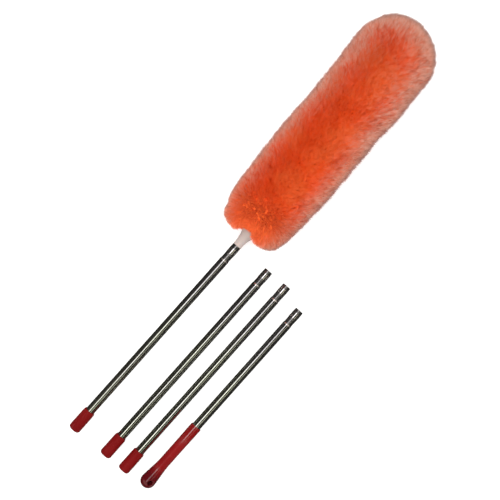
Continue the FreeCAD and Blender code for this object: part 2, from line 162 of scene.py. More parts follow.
def make_pole_coordinates_group():
    """Coordinates on a pole, from those in its own place: along it, around it, and how high on it."""
    group, entry, leave = new_group("pole_coordinates", [
        ("Place", "INPUT", "Vector", None),
        ("Around", "OUTPUT", "Vector", None),
        ("Distance", "OUTPUT", "Float", None),
        ("Height", "OUTPUT", "Float", None),
    ])
    split = group.nodes.new("ShaderNodeSeparateXYZ")
    group.links.new(entry.outputs["Place"], split.inputs["Vector"])
    angle = add_math(group, "ARCTAN2", split.outputs["Y"], split.outputs["Z"])
    join = group.nodes.new("ShaderNodeCombineXYZ")
    group.links.new(split.outputs["X"], join.inputs["X"])
    group.links.new(angle, join.inputs["Y"])
    group.links.new(join.outputs["Vector"], leave.inputs["Around"])
    group.links.new(split.outputs["X"], leave.inputs["Distance"])
    group.links.new(split.outputs["Z"], leave.inputs["Height"])
    return group


def make_handling_group():
    """Fine scratches, smudges and dust that handling leaves on a hard surface."""
    group, entry, leave = new_group("handling", [
        ("Place", "INPUT", "Vector", None),
        ("Scratches", "OUTPUT", "Float", None),
        ("Smudges", "OUTPUT", "Float", None),
        ("Dust", "OUTPUT", "Float", None),
    ])
    place = entry.outputs["Place"]
    long_marks = add_noise(group, add_mapping(group, place, (30, 900, 900)), 1.0, 2.0)
    crossed = add_mapping(group, place, (700, 60, 700), rotation=(0.3, 0.5, 0.7))
    cross_marks = add_noise(group, crossed, 1.0, 2.0)
    scratches = add_math(group, "MAXIMUM", add_range(group, long_marks, 0.62, 0.72),
                         add_range(group, cross_marks, 0.66, 0.74))
    smudges = add_range(group, add_noise(group, place, 38.0, 6.0, 0.6), 0.42, 0.66)
    dust = add_range(group, add_noise(group, place, 1500.0, 2.0, 0.8), 0.66, 0.78)
    group.links.new(scratches, leave.inputs["Scratches"])
    group.links.new(smudges, leave.inputs["Smudges"])
    group.links.new(dust, leave.inputs["Dust"])
    return group


def make_fine_grain_group():
    """The faint orange peel and grain of a moulded plastic surface, as a height and a shade."""
    group, entry, leave = new_group("fine_grain", [
        ("Place", "INPUT", "Vector", None),
        ("Grain Size", "INPUT", "Float", 900.0),
        ("Height", "OUTPUT", "Float", None),
        ("Shade", "OUTPUT", "Float", None),
    ])
    place = entry.outputs["Place"]
    fine = group.nodes.new("ShaderNodeTexNoise")
    fine.inputs["Detail"].default_value = 3.0
    group.links.new(place, fine.inputs["Vector"])
    group.links.new(entry.outputs["Grain Size"], fine.inputs["Scale"])
    broad = add_noise(group, place, 120.0, 3.0)
    height = add_math(group, "ADD", add_math(group, "MULTIPLY", fine.outputs["Fac"], 0.6),
                      add_math(group, "MULTIPLY", broad, 0.4))
    group.links.new(height, leave.inputs["Height"])
    group.links.new(add_range(group, add_noise(group, place, 26.0, 5.0), 0.3, 0.7), leave.inputs["Shade"])
    return group


POLE_COORDINATES = make_pole_coordinates_group()
HANDLING = make_handling_group()
FINE_GRAIN = make_fine_grain_group()


class Finish:
    """A material in the making: its tree, its shader and its coordinates."""

    def __init__(self, name, place=None):
        self.material = bpy.data.materials.new(name)
        self.material.use_nodes = True
        self.tree = self.material.node_tree
        self.shader = self.tree.nodes["Principled BSDF"]
        coordinates = self.tree.nodes.new("ShaderNodeTexCoord")
        self.place = coordinates.outputs["Object"]
        if place is not None:
            back = place.inverted()
            self.place = add_mapping(self.tree, self.place, location=back.to_translation(),
                                     rotation=back.to_euler())

    def group(self, group, **inputs):
        node = self.tree.nodes.new("ShaderNodeGroup")
        node.node_tree = group
        if "Place" in node.inputs:
            self.tree.links.new(self.place, node.inputs["Place"])
        for label, value in inputs.items():
            node.inputs[label.replace("_", " ")].default_value = value
        return node.outputs

    def attribute(self, name):
        node = self.tree.nodes.new("ShaderNodeAttribute")
        node.attribute_name = name
        return node.outputs["Fac"]

    def set(self, **values):
        for label, value in values.items():
            socket = self.shader.inputs[label.replace("_", " ")]
            if isinstance(value, bpy.types.NodeSocket):
                self.tree.links.new(value, socket)
            elif isinstance(value, tuple):
                socket.default_value = (*value, 1)
            else:
                socket.default_value = value

    def bump(self, height, strength, distance):
        node = self.tree.nodes.new("ShaderNodeBump")
        node.inputs["Strength"].default_value = strength
        node.inputs["Distance"].default_value = distance
        self.tree.links.new(height, node.inputs["Height"])
        self.tree.links.new(node.outputs["Normal"], self.shader.inputs["Normal"])


# ---------------------------------------------------------------- camera, floor and light

VIEW_HEIGHT = 2.4
FRAME_WIDTH = 1.0187
SENSOR = 36.0
FLOOR_REACH = 60
FLOOR_DROP = 0.0004
DIM_ROOM = 0.028


def add_camera():
    data = bpy.data.cameras.new("camera")
    data.sensor_width = SENSOR
    data.lens = SENSOR * VIEW_HEIGHT / FRAME_WIDTH
    camera = bpy.data.objects.new("camera", data)
    right = Vector((0.666, -0.746, 0)).normalized()
    back = Vector((0, 0, 1))
    turn = Matrix((right, back.cross(right), back)).transposed().to_4x4()
    camera.matrix_world = Matrix.Translation((-0.0205, 0.0220, VIEW_HEIGHT)) @ turn
    bpy.context.scene.collection.objects.link(camera)
    bpy.context.scene.camera = camera


def add_softbox(name, place, aim, width, length, power, color, mirrored):
    """A rectangular softbox whose length runs along X, either for soft light or only for reflections."""
    data = bpy.data.lights.new(name, "AREA")
    data.shape = "RECTANGLE"
    data.size = length
    data.size_y = width
    data.energy = power
    data.color = color
    light = bpy.data.objects.new(name, data)
    back = (Vector(place) - Vector(aim)).normalized()
    along = Vector((1, 0, 0))
    across = back.cross(along).normalized()
    turn = Matrix((across.cross(back), across, back)).transposed().to_4x4()
    light.matrix_world = Matrix.Translation(place) @ turn
    light.visible_camera = False
    light.visible_glossy = mirrored
    light.visible_diffuse = not mirrored
    bpy.context.scene.collection.objects.link(light)


def add_world():
    """An even pale room for soft light. Polished metal mirrors a dim one with pale walls at both ends."""
    world = bpy.data.worlds.new("room")
    world.use_nodes = True
    tree = world.node_tree
    tree.nodes.clear()
    path = tree.nodes.new("ShaderNodeLightPath")
    room = tree.nodes.new("ShaderNodeBackground")
    room.inputs["Color"].default_value = (1.0, 0.995, 0.985, 1)
    room.inputs["Strength"].default_value = 0.88
    dim = tree.nodes.new("ShaderNodeBackground")
    dim.inputs["Color"].default_value = (1.0, 0.92, 0.84, 1)
    direction = tree.nodes.new("ShaderNodeSeparateXYZ")
    tree.links.new(tree.nodes.new("ShaderNodeTexCoord").outputs["Generated"], direction.inputs["Vector"])
    ends = add_range(tree, add_math(tree, "ABSOLUTE", direction.outputs["X"]), 0.28, 0.62, 0.0, 0.75)
    above = add_range(tree, direction.outputs["Z"], 0.02, 0.45)
    walls = add_math(tree, "MULTIPLY", ends, above)
    tree.links.new(add_math(tree, "ADD", walls, DIM_ROOM), dim.inputs["Strength"])
    mix = tree.nodes.new("ShaderNodeMixShader")
    output = tree.nodes.new("ShaderNodeOutputWorld")
    tree.links.new(path.outputs["Is Glossy Ray"], mix.inputs["Fac"])
    tree.links.new(room.outputs["Background"], mix.inputs[1])
    tree.links.new(dim.outputs["Background"], mix.inputs[2])
    tree.links.new(mix.outputs["Shader"], output.inputs["Surface"])
    bpy.context.scene.world = world


def add_floor():
    """A pale floor, which polished metal mirrors as a dim one."""
    bm = bmesh.new()
    bmesh.ops.create_grid(bm, x_segments=1, y_segments=1, size=FLOOR_REACH)
    mesh = bpy.data.meshes.new("floor")
    bm.to_mesh(mesh)
    bm.free()
    floor = bpy.data.objects.new("floor", mesh)
    floor.location.z = -FLOOR_DROP
    bpy.context.scene.collection.objects.link(floor)
    material = bpy.data.materials.new("floor_paper")
    material.use_nodes = True
    tree = material.node_tree
    tree.nodes.clear()
    path = tree.nodes.new("ShaderNodeLightPath")
    paper = tree.nodes.new("ShaderNodeBsdfDiffuse")
    paper.inputs["Color"].default_value = (0.80, 0.80, 0.795, 1)
    glow = tree.nodes.new("ShaderNodeEmission")
    glow.inputs["Color"].default_value = (1, 1, 1, 1)
    glow.inputs["Strength"].default_value = 0.42
    lit = tree.nodes.new("ShaderNodeAddShader")
    dim = tree.nodes.new("ShaderNodeEmission")
    dim.inputs["Color"].default_value = (0.034, 0.033, 0.028, 1)
    mix = tree.nodes.new("ShaderNodeMixShader")
    output = tree.nodes.new("ShaderNodeOutputMaterial")
    tree.links.new(paper.outputs["BSDF"], lit.inputs[0])
    tree.links.new(glow.outputs["Emission"], lit.inputs[1])
    tree.links.new(path.outputs["Is Glossy Ray"], mix.inputs["Fac"])
    tree.links.new(lit.outputs["Shader"], mix.inputs[1])
    tree.links.new(dim.outputs["Emission"], mix.inputs[2])
    tree.links.new(mix.outputs["Shader"], output.inputs["Surface"])
    mesh.materials.append(material)


add_camera()
add_world()
add_floor()
add_softbox("overhead_softbox", (0.1, 0.3, 3.0), (0, 0.05, 0), 1.6, 3.0, 70, (1, 0.985, 0.96), False)
add_softbox("glint_softbox", (0, 0.50, 3.0), (0, 0.05, 0), 0.90, 3.6, 23, (1, 1, 0.985), True)
add_softbox("glint_strip", (0, -1.75, 2.6), (0, 0, 0), 0.30, 3.6, 4.2, (0.97, 1.0, 0.74), True)
bpy.context.scene.view_settings.view_transform = "Standard"

# ---------------------------------------------------------------- hard materials

# Soft edges along a pole, each from where it starts to where it ends, in metres from the tip of the tube.
PAINTED_REFLECTION_FADE = (-0.20, -0.08)
PAINTED_SHADE_NEAR_TIP = (-0.24, -0.05)
ROUGHER_PLATE = (-0.30, -0.02)
SPIGOT_START = (-0.0375, -0.0345)
PAINTED_HIGHLIGHT_RING = ((-0.0215, -0.0195), (-0.0085, -0.0065))
PAINTED_HIGHLIGHT_BEAD = ((-0.0405, -0.0395), (-0.0375, -0.0365))
BALL_START = (-0.452, -0.418)
GLOSSY_BELOW = (-0.435, -0.420)
GLOSSY_ABOVE = (-0.372, -0.335)
FERRULE_SOIL = (0.026, 0.042)


def add_ring(tree, distance, ring):
    """1 on a ring round a pole and 0 elsewhere, from the soft edges at its start and its end."""
    start, end = ring
    return add_math(tree, "MULTIPLY", add_range(tree, distance, *start),
                    add_range(tree, distance, *end, 1.0, 0.0))


def make_chrome(pole, place):
    """Bright chrome plate over a drawn tube: faint draw lines and smudges, a painted olive reflection low
    on the tube, painted shade near its tip and on the spigot, and painted highlights on a band and a narrow
    ring near the tip.
    """
    chrome = Finish(f"chrome_{pole}", place)
    tree = chrome.tree
    around = chrome.group(POLE_COORDINATES)
    marks = chrome.group(HANDLING)
    drawn = add_noise(tree, add_mapping(tree, around["Around"], (2, 9, 1)), 1.0, 1.0, 0.5)
    # painted reflection: an olive tint in the plate low on the tube, fading out towards its tip
    painted_olive_reflection = add_noise(tree, add_mapping(tree, around["Around"], (5, 0.8, 1)), 1.0, 3.0)
    painted_olive_reflection = add_math(tree, "MULTIPLY", add_range(tree, painted_olive_reflection, 0.30, 0.60),
                    add_range(tree, around["Distance"], *PAINTED_REFLECTION_FADE, 1.0, 0.0))
    plate = add_mix(tree, painted_olive_reflection, (0.66, 0.645, 0.645), (0.62, 0.635, 0.53))
    # painted shade: the plate darker near the tip, where the tube's highlight fades out
    plate = add_mix(tree, add_range(tree, around["Distance"], *PAINTED_SHADE_NEAR_TIP), plate, (0.50, 0.48, 0.485))
    plate = add_mix(tree, add_math(tree, "MULTIPLY", marks["Smudges"], 0.20), plate, (0.46, 0.45, 0.43))
    plate = add_mix(tree, add_math(tree, "MULTIPLY", marks["Scratches"], 0.12), plate, (0.36, 0.35, 0.34))
    # the spigot near the tip: rougher from scuffing, and its plate darkened with painted shade
    spigot = add_range(tree, around["Distance"], *SPIGOT_START)
    painted_highlight_ring = add_ring(tree, around["Distance"], PAINTED_HIGHLIGHT_RING)
    scuff_and_painted_shade = add_math(tree, "SUBTRACT", spigot, painted_highlight_ring)
    plate = add_mix(tree, add_math(tree, "MULTIPLY", scuff_and_painted_shade, 0.70), plate, (0.24, 0.23, 0.235))
    # painted highlights: bright pinkish plate on a band and a narrow ring near the tip
    painted_highlight_bead = add_ring(tree, around["Distance"], PAINTED_HIGHLIGHT_BEAD)
    plate = add_mix(tree, add_math(tree, "MAXIMUM", painted_highlight_ring, painted_highlight_bead), plate, (0.97, 0.90, 0.89))
    rough = add_math(tree, "ADD", add_math(tree, "MULTIPLY", marks["Smudges"], 0.07),
                     add_math(tree, "MULTIPLY", drawn, 0.10))
    rough = add_math(tree, "ADD", rough, add_math(tree, "MULTIPLY", scuff_and_painted_shade, 0.12))
    rough = add_math(tree, "ADD", rough, add_range(tree, around["Distance"], *ROUGHER_PLATE, 0.05, 0.11))
    chrome.set(Base_Color=plate, Metallic=1.0, Roughness=rough)
    chrome.bump(drawn, 0.15, 0.00025)
    return chrome.material


def make_socket_red():
    """Deep red moulded plastic with a satin skin, a little paler where hands have rubbed it."""
    red = Finish("socket_red")
    tree = red.tree
    grain = red.group(FINE_GRAIN, Grain_Size=1400.0)
    marks = red.group(HANDLING)
    color = add_mix(tree, grain["Shade"], (0.142, 0.0018, 0.0022), (0.166, 0.0030, 0.0032))
    color = add_mix(tree, add_math(tree, "MULTIPLY", marks["Scratches"], 0.30), color, (0.30, 0.06, 0.055))
    color = add_mix(tree, add_math(tree, "MULTIPLY", marks["Dust"], 0.12), color, (0.42, 0.28, 0.24))
    rough = add_range(tree, marks["Smudges"], 0, 1, 0.42, 0.54)
    red.set(Base_Color=color, Roughness=rough, Specular_IOR_Level=0.09)
    red.bump(grain["Height"], 0.25, 0.0002)
    return red.material


def make_grip_red():
    """The dipped skin of the grip: glossy, but rubbed matt at the palm and darkened on its ball."""
    red = Finish("grip_red", POLE_PLACES["handle"])
    tree = red.tree
    around = red.group(POLE_COORDINATES)
    grain = red.group(FINE_GRAIN, Grain_Size=700.0)
    marks = red.group(HANDLING)
    color = add_mix(tree, grain["Shade"], (0.180, 0.0022, 0.0030), (0.212, 0.0038, 0.0042))
    # darker and less glossy on its ball
    on_ball = add_range(tree, around["Distance"], *BALL_START, 1.0, 0.0)
    color = add_mix(tree, on_ball, color, (0.080, 0.0025, 0.0050))
    color = add_mix(tree, add_math(tree, "MULTIPLY", marks["Scratches"], 0.30), color, (0.36, 0.075, 0.065))
    color = add_mix(tree, add_math(tree, "MULTIPLY", marks["Dust"], 0.10), color, (0.45, 0.28, 0.25))
    below_top = add_range(tree, around["Distance"], *GLOSSY_ABOVE, 1.0, 0.0)
    above_neck = add_range(tree, around["Distance"], *GLOSSY_BELOW, 0.0, 1.0)
    rubbed = add_math(tree, "MULTIPLY", below_top, above_neck)
    rough = add_math(tree, "ADD", add_range(tree, marks["Smudges"], 0, 1, 0.10, 0.16),
                     add_math(tree, "MULTIPLY", rubbed, 0.42))
    polish = add_math(tree, "SUBTRACT", add_range(tree, rubbed, 0, 1, 0.95, 0.12),
                      add_math(tree, "MULTIPLY", on_ball, 0.55))
    red.set(Base_Color=color, Roughness=rough, Specular_IOR_Level=polish,
            Coat_Weight=polish, Coat_Roughness=0.08)
    red.bump(grain["Height"], 0.14, 0.0002)
    return red.material


def make_ferrule_ivory():
    """Ivory moulded plastic, yellowed and a little soiled towards the pile."""
    ivory = Finish("ferrule_ivory", HEAD_PLACE)
    tree = ivory.tree
    around = ivory.group(POLE_COORDINATES)
    grain = ivory.group(FINE_GRAIN, Grain_Size=1100.0)
    marks = ivory.group(HANDLING)
    color = add_mix(tree, grain["Shade"], (0.47, 0.395, 0.365), (0.53, 0.455, 0.425))
    darkening = add_range(tree, around["Distance"], *FERRULE_SOIL, 0.0, 0.55)
    color = add_mix(tree, darkening, color, (0.46, 0.33, 0.27))
    color = add_mix(tree, add_math(tree, "MULTIPLY", marks["Scratches"], 0.25), color, (0.42, 0.34, 0.30))
    ivory.set(Base_Color=color, Roughness=add_range(tree, marks["Smudges"], 0, 1, 0.42, 0.55),
              Subsurface_Weight=0.06, Subsurface_Scale=0.002)
    ivory.bump(grain["Height"], 0.3, 0.0002)
    return ivory.material


def make_moulded(name, pale, deep, rough):
    """A plain moulded plastic for the pieces inside the poles."""
    plastic = Finish(name)
    tree = plastic.tree
    grain = plastic.group(FINE_GRAIN, Grain_Size=1000.0)
    marks = plastic.group(HANDLING)
    color = add_mix(tree, grain["Shade"], deep, pale)
    color = add_mix(tree, add_math(tree, "MULTIPLY", marks["Dust"], 0.2), color, (0.35, 0.33, 0.30))
    plastic.set(Base_Color=color, Roughness=add_range(tree, marks["Smudges"], 0, 1, rough, rough + 0.14))
    plastic.bump(grain["Height"], 0.25, 0.0002)
    return plastic.material


def make_turned_steel():
    """Zinc-plated turned steel with faint lathe marks."""
    steel = Finish("turned_steel")
    tree = steel.tree
    marks = steel.group(HANDLING)
    lathe = add_noise(tree, add_mapping(tree, steel.place, (2600, 40, 40)), 1.0, 2.0)
    color = add_mix(tree, marks["Smudges"], (0.58, 0.585, 0.60), (0.47, 0.47, 0.46))
    steel.set(Base_Color=color, Metallic=1.0, Roughness=add_range(tree, lathe, 0.3, 0.7, 0.26, 0.42))
    steel.bump(lathe, 0.2, 0.0001)
    return steel.material


def make_knit(name, yarn, shadow, place):
    """Knitted or twisted yarn: small slanted stitches round the core."""
    knit = Finish(name, place)
    tree = knit.tree
    around = knit.group(POLE_COORDINATES)
    ribs = tree.nodes.new("ShaderNodeTexWave")
    ribs.inputs["Scale"].default_value = 1.0
    ribs.inputs["Distortion"].default_value = 1.5
    ribs.inputs["Detail"].default_value = 2.0
    slanted = add_mapping(tree, around["Around"], (180, 2.5, 1), rotation=(0, 0, 0.5))
    tree.links.new(slanted, ribs.inputs["Vector"])
    fibre = add_noise(tree, knit.place, 1800.0, 3.0)
    color = add_mix(tree, ribs.outputs["Fac"], shadow, yarn)
    color = add_mix(tree, add_math(tree, "MULTIPLY", fibre, 0.3), color, shadow)
    knit.set(Base_Color=color, Roughness=0.9, Sheen_Weight=0.3, Sheen_Roughness=0.5)
    knit.bump(add_math(tree, "ADD", ribs.outputs["Fac"], fibre), 0.6, 0.0006)
    return knit.material


def paint(node, material):
    """Gives a CAD node its finish."""
    slots = frame["nodes"][node].data.materials
    slots.clear()
    slots.append(material)


NYLON = make_moulded("insert_nylon", (0.66, 0.63, 0.56), (0.55, 0.52, 0.45), 0.42)
CORE_PLASTIC = make_moulded("core_plastic", (0.50, 0.50, 0.48), (0.42, 0.42, 0.40), 0.45)
SOCKET_RED = make_socket_red()
TURNED_STEEL = make_turned_steel()
for pole, place in POLE_PLACES.items():
    paint(f"{pole}_tube", make_chrome(pole, place))
    paint(f"{pole}_insert", NYLON)
for pole in ("section_1", "section_2", "section_3"):
    paint(f"{pole}_socket", SOCKET_RED)
    paint(f"{pole}_plug", NYLON)
    paint(f"{pole}_stud", TURNED_STEEL)
paint("handle_grip", make_grip_red())
paint("ferrule", make_ferrule_ivory())
for node in ("core_tube", "core_tip_cap"):
    paint(node, CORE_PLASTIC)
for node in ("ferrule_pin", "ferrule_stud"):
    paint(node, TURNED_STEEL)
paint("backing_sleeve", make_knit("backing_knit", (0.62, 0.16, 0.07), (0.34, 0.06, 0.03), HEAD_PLACE))

# ---------------------------------------------------------------- threads and cord

THREAD_PITCH = 3 * MM
THREAD_DEPTH = 0.8 * MM
THREAD_CHAMFER = 1.2 * MM
TIE_THICKNESS = 1.9 * MM


def span_of(node, place):
    """How far a round CAD node reaches along a pole, and its radius."""
    back = place.inverted()
    points = [back @ vert.co for vert in frame["nodes"][node].data.vertices]
    return (min(point.x for point in points), max(point.x for point in points),
            max(math.hypot(point.y, point.z) for point in points))


def add_piece(name, bm, place, body, material):
    """A finished piece from a mesh drawn along X, put where its pole is."""
    bmesh.ops.transform(bm, matrix=place, verts=bm.verts)
    bmesh.ops.recalc_face_normals(bm, faces=bm.faces)
    mesh = bpy.data.meshes.new(name)
    bm.to_mesh(mesh)
    bm.free()
    for face in mesh.polygons:
        face.use_smooth = True
    mesh.materials.append(material)
    piece = bpy.data.objects.new(name, mesh)
    bpy.context.scene.collection.objects.link(piece)
    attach(piece, body)
    return piece


def make_threaded_stud(name, node, place, body):
    """A stud with a rolled thread over its whole length, standing for a plain round one."""
    low, high, crest = span_of(node, place)
    rings = round((high - low) / (THREAD_PITCH / 10))
    bm = bmesh.new()
    side = [(low + (high - low) * step / rings, crest) for step in range(rings + 1)]
    outline = [(low, 0.0), *side, (high, 0.0)]
    spine = [bm.verts.new((distance, 0, radius)) for distance, radius in outline]
    edges = [bm.edges.new(pair) for pair in zip(spine, spine[1:])]
    bmesh.ops.spin(bm, geom=spine + edges, cent=(0, 0, 0), axis=(1, 0, 0), dvec=(0, 0, 0),
                   angle=2 * math.pi, steps=48, use_merge=True)
    bmesh.ops.remove_doubles(bm, verts=bm.verts, dist=1e-6)
    for vert in bm.verts:
        radius = math.hypot(vert.co.y, vert.co.z)
        if radius < crest / 2:
            continue
        turn = (vert.co.x / THREAD_PITCH - math.atan2(vert.co.y, vert.co.z) / (2 * math.pi)) % 1
        flank = min(max((1 - abs(2 * turn - 1) - 0.2) / 0.6, 0.0), 1.0)
        depth = THREAD_DEPTH * (1 - flank)
        chamfer = max(0.0, THREAD_CHAMFER - min(vert.co.x - low, high - vert.co.x))
        shrink = (crest - max(depth, chamfer)) / radius
        vert.co.y *= shrink
        vert.co.z *= shrink
    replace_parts(add_piece(name, bm, place, body, TURNED_STEEL), node)


def make_wound_cord(name, node, place, body, material):
    """A waxed cord wound round the backing in close turns, standing for the plain ring of the neck tie."""
    low, high, outside = span_of(node, place)
    thickness = TIE_THICKNESS
    strands = round((high - low) / thickness)
    turns = strands - 1
    pitch = (high - low - thickness) / turns
    steps = 48
    bm = bmesh.new()
    start = Matrix.Translation((low + thickness / 2, 0, outside - thickness / 2))
    made = bmesh.ops.create_circle(bm, segments=10, radius=thickness / 2,
                                   matrix=start @ Matrix.Rotation(math.pi / 2, 4, "X"))
    geometry = made["verts"] + list({edge for vert in made["verts"] for edge in vert.link_edges})
    bmesh.ops.spin(bm, geom=geometry, cent=(0, 0, 0), axis=(1, 0, 0), dvec=(pitch / steps, 0, 0),
                   angle=2 * math.pi * turns, steps=steps * turns)
    bmesh.ops.holes_fill(bm, edges=[edge for edge in bm.edges if edge.is_boundary])
    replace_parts(add_piece(name, bm, place, body, material), node)


make_threaded_stud("ferrule_thread", "ferrule_stud", HEAD_PLACE, "head_screw")
make_wound_cord("neck_binding", "neck_tie", HEAD_PLACE, "head",
                make_knit("tie_cord", (0.66, 0.60, 0.50), (0.36, 0.31, 0.24), HEAD_PLACE))

# ---------------------------------------------------------------- pile of the head

PILE_FOOT = 29 * MM
FOOT_ROUND = 25 * MM
FOOT_RADIUS = 71 * MM
SWELL = 142 * MM
SWELL_RADIUS = 82.5 * MM
FULL = 190 * MM
FULL_RADIUS = 84.5 * MM
PILE_END = 561.5 * MM
PILE_SHIFT = 4 * MM
PILE_LEAN = math.radians(1.85)
NECK_RADIUS = 20 * MM
NECK_EDGE = 41 * MM
PILE_DEPTH = 19 * MM
PILE_PLACE = HEAD_PLACE @ Matrix.Translation((0, PILE_SHIFT, 0)) @ Matrix.Rotation(PILE_LEAN, 4, "Z")
BAND_EDGES = [edge * MM for edge in (29, 60, 98, 150, 208, 266, 324, 382, 440, 498, 562)]
TUFTS_PER_BAND = 3300
TUFT_SHAPES = 7
FOOT_PAINTED_LIGHT_END = 0.13
FOOT_PAINTED_LIGHT_FADE = 0.06
COMBED_UP = 0.62
COMBED_DOWN = 0.60
SWIRL = (0.6, 0.5, 1.2)
STRAY = (0.12, 0.12, 0.9)
GROWTH = (0.84, 1.10)
# How far the pile's shape strays from the turned one, in millimetres.
NOTCH_DEPTH, LEFT_LOBE, RIGHT_LOBE = 9.0, 5.5, 4.5
NECK_PINCH, FOOT_PINCH, DOME_PINCH = 4.0, 2.0, 2.5
MIDDLE_BULGE, LONG_BULGE, DOME_TAPER = 5.0, 3.6, 4.5
COARSE_DENTS, FINE_DENTS = 2.6, 1.4
# Tips that would go under this height are pressed on the floor.
PRESS_HEIGHT = 5 * MM


def blend_between(low, high, value):
    """0 below low, 1 above high and smooth between them."""
    share = min(max((value - low) / (high - low), 0.0), 1.0)
    return share * share * (3 - 2 * share)


def pile_radius(distance):
    """The radius of the pile's tips at a distance from the tube's tip, from its foot to its dome."""
    dome = PILE_END - FULL_RADIUS
    if distance < PILE_FOOT + FOOT_ROUND:
        rise = max(0.0, distance - PILE_FOOT) - FOOT_ROUND
        return FOOT_RADIUS - FOOT_ROUND + math.sqrt(max(0.0, FOOT_ROUND ** 2 - rise ** 2))
    if distance < SWELL:
        share = (distance - PILE_FOOT - FOOT_ROUND) / (SWELL - PILE_FOOT - FOOT_ROUND)
        return FOOT_RADIUS + (SWELL_RADIUS - FOOT_RADIUS) * math.sin(share * math.pi / 2)
    if distance < FULL:
        return SWELL_RADIUS + (FULL_RADIUS - SWELL_RADIUS) * (distance - SWELL) / (FULL - SWELL)
    if distance < dome:
        waist = math.sin(math.pi * (distance - FULL) / (dome - FULL)) ** 2
        return FULL_RADIUS - 1.5 * MM * waist
    return math.sqrt(max(0.0, FULL_RADIUS ** 2 - (distance - dome) ** 2))


def fullness(distance):
    """How long the fibres are at a distance from the tube's tip, as a share: they are short at the foot."""
    return 0.5 + 0.5 * blend_between(72 * MM, 150 * MM, distance)


def make_scalp():
    """The dense undercoat below the pile's tips, turned from its outline and then shaped."""
    bm = bmesh.new()
    foot_depth = PILE_DEPTH * fullness(0)
    outline = [(NECK_EDGE + foot_depth, NECK_RADIUS)]
    foot = PILE_FOOT + foot_depth
    inner = FOOT_ROUND - 6 * MM
    for step in range(5):
        angle = math.pi / 2 * step / 4
        outline.append((foot + inner * (1 - math.sin(angle)),
                        FOOT_RADIUS - foot_depth - inner * (1 - math.cos(angle))))
    outline[1:] = sorted(outline[1:], key=lambda point: point[1])
    straight = foot + inner
    dome = PILE_END - FULL_RADIUS
    rings = 46
    for step in range(1, rings):
        distance = straight + (dome - straight) * step / rings
        outline.append((distance, pile_radius(distance) - PILE_DEPTH * fullness(distance)))
    cap = FULL_RADIUS - PILE_DEPTH
    for step in range(15):
        angle = math.pi / 2 * step / 14
        outline.append((dome + cap * math.sin(angle), cap * math.cos(angle)))
    spine = [bm.verts.new((distance, 0, max(radius, 0.0))) for distance, radius in outline]
    edges = [bm.edges.new(pair) for pair in zip(spine, spine[1:])]
    bmesh.ops.spin(bm, geom=spine + edges, cent=(0, 0, 0), axis=(1, 0, 0), dvec=(0, 0, 0),
                   angle=2 * math.pi, steps=72, use_merge=True)
    bmesh.ops.remove_doubles(bm, verts=bm.verts, dist=1e-5)
    rim = [edge for edge in bm.edges if edge.is_boundary]
    bmesh.ops.contextual_create(bm, geom=rim)
    bmesh.ops.recalc_face_normals(bm, faces=bm.faces)
    for vert in bm.verts:
        vert.co = shaped(vert.co)
    mesh = bpy.data.meshes.new("pile_undercoat")
    bm.to_mesh(mesh)
    bm.free()
    return mesh


def ridge(distance, middle, width):
    """1 at the middle of a soft ridge along the head, in millimetres, and 0 far from it."""
    return math.exp(-((distance - middle * MM) / (width * MM)) ** 2)


def shaped(point):
    """Moves a point of the turned undercoat to where handling has left it, with lobes and soft dents."""
    distance, side, height = point
    radius = math.hypot(side, height)
    angle = math.atan2(side, height)
    outward = Vector((0, side, height)) / radius if radius > 1e-6 else Vector((1, 0, 0))
    low = 1 - blend_between(50 * MM, 105 * MM, distance)
    far_out = blend_between(14 * MM, 27 * MM, radius)
    moved = Vector(point)
    dent = noise.noise(Vector((distance * 17, math.sin(angle) * 1.6, math.cos(angle) * 1.6)))
    fine = noise.noise(Vector((distance * 48, math.sin(angle) * 4.0, math.cos(angle) * 4.0)))
    moved += outward * (dent * COARSE_DENTS * MM + fine * FINE_DENTS * MM)
    aside = math.sin(angle)
    left, right = max(0.0, aside) ** 2, max(0.0, -aside) ** 2
    notch = 1 - blend_between(0.30, 0.52, abs(aside))
    left_lobe = blend_between(0.30, 0.50, aside) * (1 - blend_between(0.92, 1.0, aside))
    right_lobe = blend_between(0.30, 0.50, -aside) * 0.45
    scallop = math.cos(angle * 5 + 0.8)
    edge = notch * NOTCH_DEPTH - left_lobe * LEFT_LOBE - right_lobe * RIGHT_LOBE + scallop
    moved.x += low * far_out * edge * MM
    near_foot = 1 - blend_between(95 * MM, 140 * MM, distance)
    pinch = ridge(distance, 58, 7) * NECK_PINCH + near_foot * FOOT_PINCH
    pinch += ridge(distance, 508, 16) * DOME_PINCH
    bulge = ridge(distance, 395, 45) * MIDDLE_BULGE
    bulge += blend_between(88 * MM, 118 * MM, distance) * LONG_BULGE
    bulge -= blend_between(495 * MM, 550 * MM, distance) * DOME_TAPER
    moved += outward * (right * bulge - left * pinch) * MM
    placed = PILE_PLACE @ moved
    floor_room = 7.0 * MM
    if placed.z < floor_room:
        placed.z = floor_room - 0.12 * (floor_room - placed.z)
    return placed


def add_hair(bm, root, lean, length, thickness, bent, shade):
    """One fibre: a thin three-sided cone from its root, in one straight stretch or two bent ones."""
    layer = bm.verts.layers.float["hair"]
    top_share = 0.55 if bent else 1.0
    made = bmesh.ops.create_cone(bm, cap_ends=True, segments=3, radius1=thickness,
                                 radius2=thickness * 0.72 if bent else 0.0, depth=length * top_share)
    verts = made["verts"]
    bmesh.ops.translate(bm, verts=verts, vec=(0, 0, length * top_share / 2))
    if bent:
        cap = [face for face in bm.faces if all(v in verts and v.co.z > length * 0.5 for v in face.verts)]
        tip = bmesh.ops.poke(bm, faces=cap)["verts"]
        bmesh.ops.translate(bm, verts=tip, vec=(lean[0] * 0.5, lean[1] * 0.5, length * (1 - top_share)))
        verts = verts + tip
    for vert in verts:
        vert[layer] = shade
        share = vert.co.z / length
        vert.co.x += root[0] + lean[0] * share * share
        vert.co.y += root[1] + lean[1] * share * share


